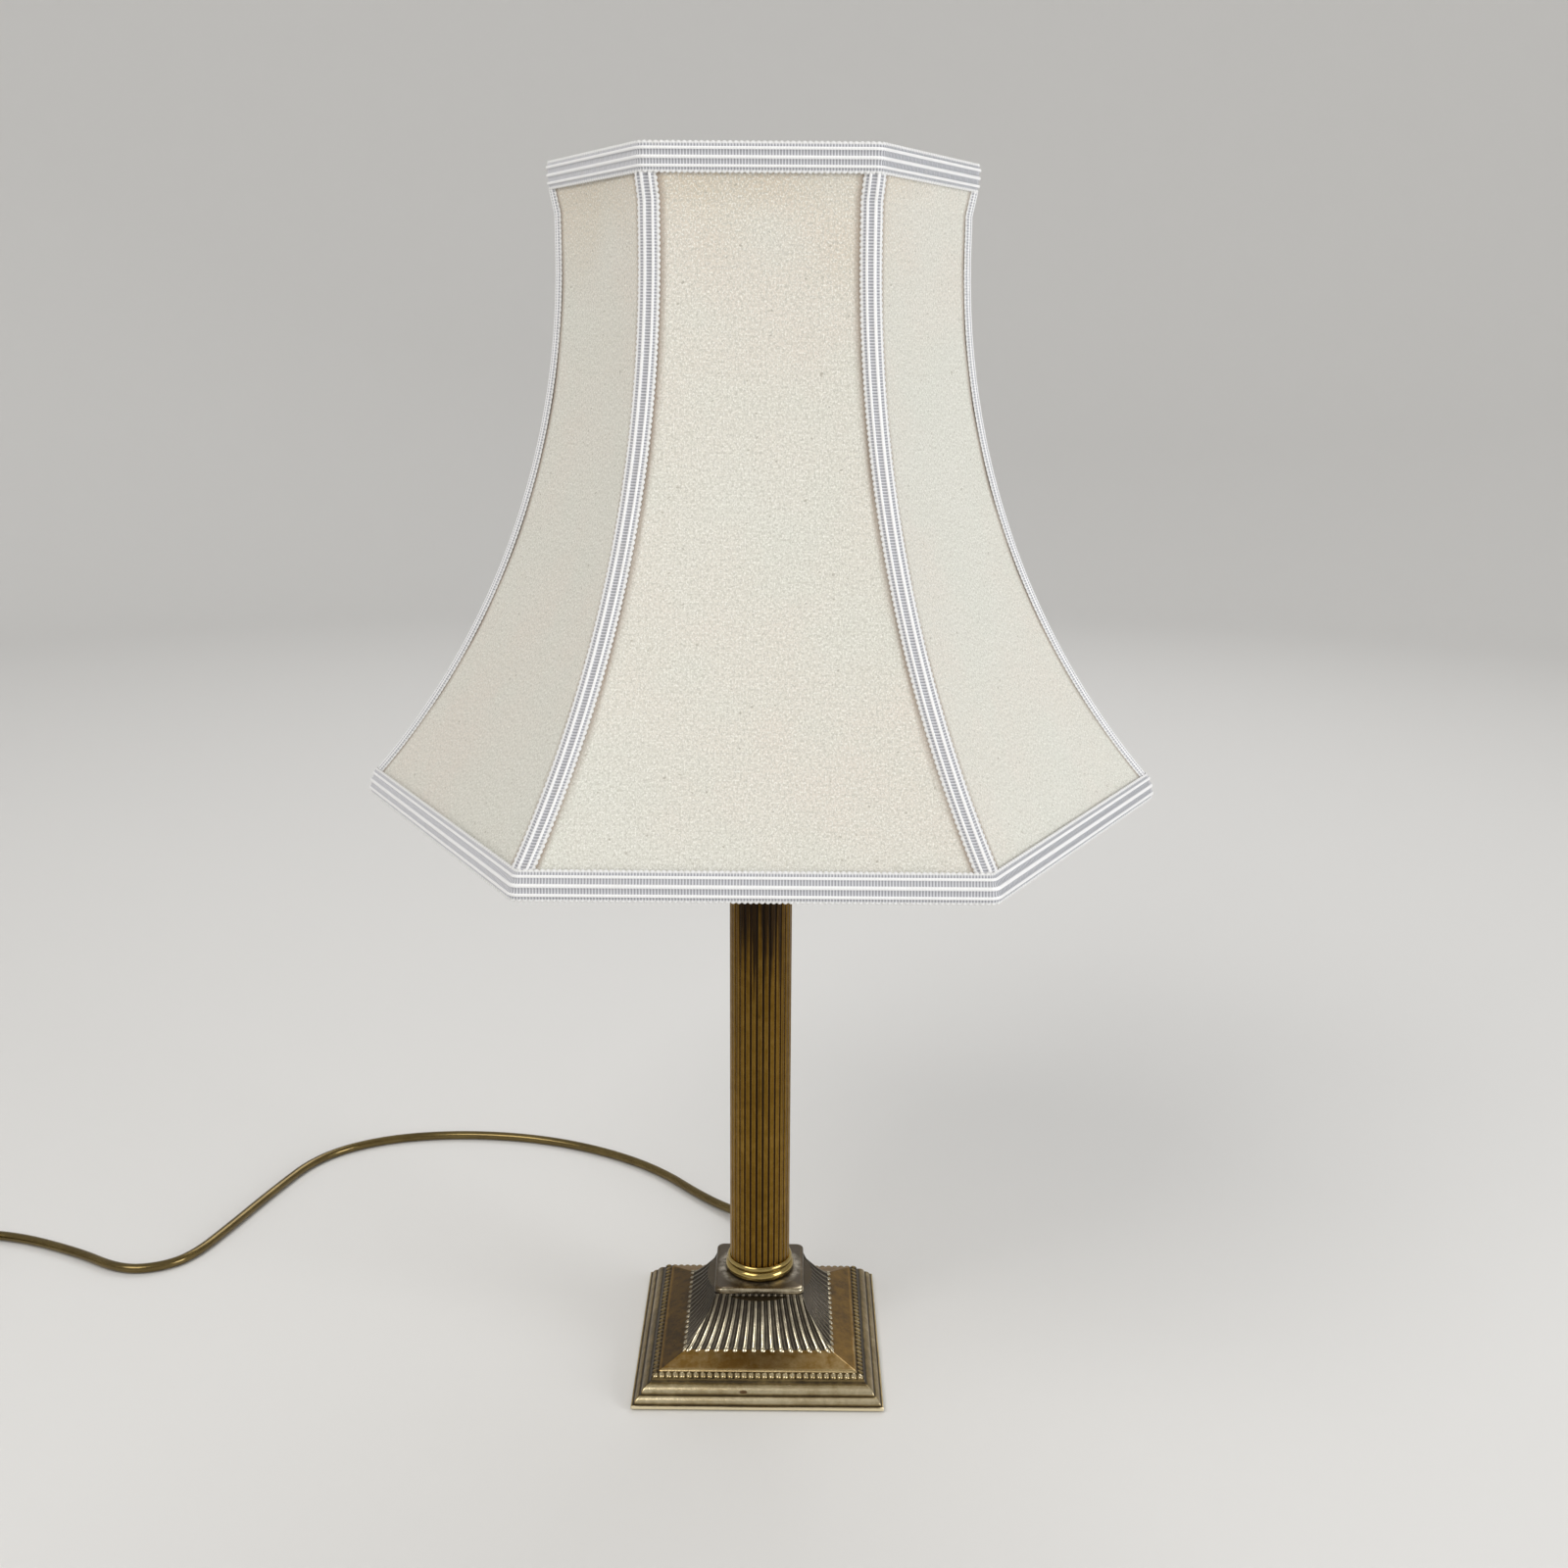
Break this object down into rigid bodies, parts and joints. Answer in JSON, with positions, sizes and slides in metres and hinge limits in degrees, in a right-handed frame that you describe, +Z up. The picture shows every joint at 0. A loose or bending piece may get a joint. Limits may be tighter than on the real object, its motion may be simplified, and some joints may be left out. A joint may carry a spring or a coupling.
{
  "type": "table lamp",
  "caption": "Table lamp: square reeded brass base, fluted column, lampholder, and a six-sided flared fabric bell shade trimmed with braid, on a free flex with a plug.",
  "frame": {"origin": "middle of the base's underside, on the table", "axes": "+Z up, the pictured front faces -Y, +X to the viewer's right; the flex leaves towards +Y"},
  "size_m": [0.7928, 0.4129, 0.61],
  "materials": {
    "base_brass": "antique cast brass, worn highlights",
    "column_brass": "drawn brass, dark grooves",
    "ring_brass": "polished",
    "holder_brass": "satin",
    "contact_brass": "plain",
    "pin_brass": "nickel plated, plain",
    "felt": "green wool felt",
    "ballast_iron": "rough casting",
    "plated_steel": "zinc plated",
    "bush_rubber": "moulded, matt",
    "porcelain": "glazed",
    "holder_plastic": "moulded, dark",
    "flex": "gold-coloured flexible sheath",
    "wire_copper": "stranded wire",
    "bulb_frost": "frosted inside",
    "stem_glass": "clear",
    "cap_aluminium": "rolled thread, satin",
    "filament": "drawn wire",
    "frame_enamel": "white enamel on wire",
    "shade_fabric": "cream crepe satin",
    "lining_fabric": "white lining",
    "braid": "white ribbed braid",
    "plug_plastic": "moulded"
  },
  "bodies": {
    "lamp": {"base_shell": "base_brass", "base_felt": "felt", "base_weight": "ballast_iron", "weight_screws": "plated_steel", "cord_bush": "bush_rubber", "threaded_rod": "plated_steel", "rod_nut": "plated_steel", "rod_washer": "plated_steel", "rod_locknut": "plated_steel", "column_foot_ring": "ring_brass", "column_tube": "column_brass", "column_top_ring": "ring_brass", "capital": "base_brass", "holder_cap": "holder_brass", "holder_shell": "holder_brass", "holder_insulator": "porcelain", "holder_screw_shell": "contact_brass", "holder_contact": "contact_brass", "terminal_screws": "contact_brass", "shade_ring_lower": "holder_brass", "inner_cord": "flex", "lead_wires": "wire_copper", "power_cord": "flex", "cord_coil": "flex", "cord_tail": "flex", "plug_body": "plug_plastic", "plug_pins": "pin_brass"},
    "switch_bar": {"switch_bar": "holder_plastic"},
    "bulb": {"bulb_glass": "bulb_frost", "bulb_cap": "cap_aluminium", "bulb_contact": "contact_brass", "bulb_stem": "stem_glass", "bulb_filament": "filament"},
    "shade_ring": {"shade_ring_upper": "holder_brass"},
    "shade": {"frame_top_ring": "frame_enamel", "frame_bottom_ring": "frame_enamel", "frame_struts": "frame_enamel", "fitter_ring": "frame_enamel", "fitter_arms": "frame_enamel", "shade_lining": "lining_fabric", "trim_top_band": "braid", "trim_bottom_band": "braid", "shade_panel_1": "shade_fabric", "shade_panel_2": "shade_fabric", "shade_panel_3": "shade_fabric", "shade_panel_4": "shade_fabric", "shade_panel_5": "shade_fabric", "shade_panel_6": "shade_fabric", "trim_seam_1": "braid", "trim_seam_2": "braid", "trim_seam_3": "braid", "trim_seam_4": "braid", "trim_seam_5": "braid", "trim_seam_6": "braid"}
  },
  "joints": [
    {"name": "switch_push", "type": "slide", "parent": "lamp", "child": "switch_bar", "axis": [1, 0, 0], "range_m": [0, 0.008]},
    {"name": "bulb_unscrew", "type": "slide", "parent": "lamp", "child": "bulb", "axis": [0, 0, 1], "range_m": [0, 0.034]},
    {"name": "shade_ring_unscrew", "type": "slide", "parent": "lamp", "child": "shade_ring", "axis": [0, 0, 1], "range_m": [0, 0.012]},
    {"name": "shade_turn", "type": "hinge", "parent": "lamp", "child": "shade", "pos_m": [0, 0, 0.428], "axis": [0, 0, 1], "continuous": true}
  ]
}
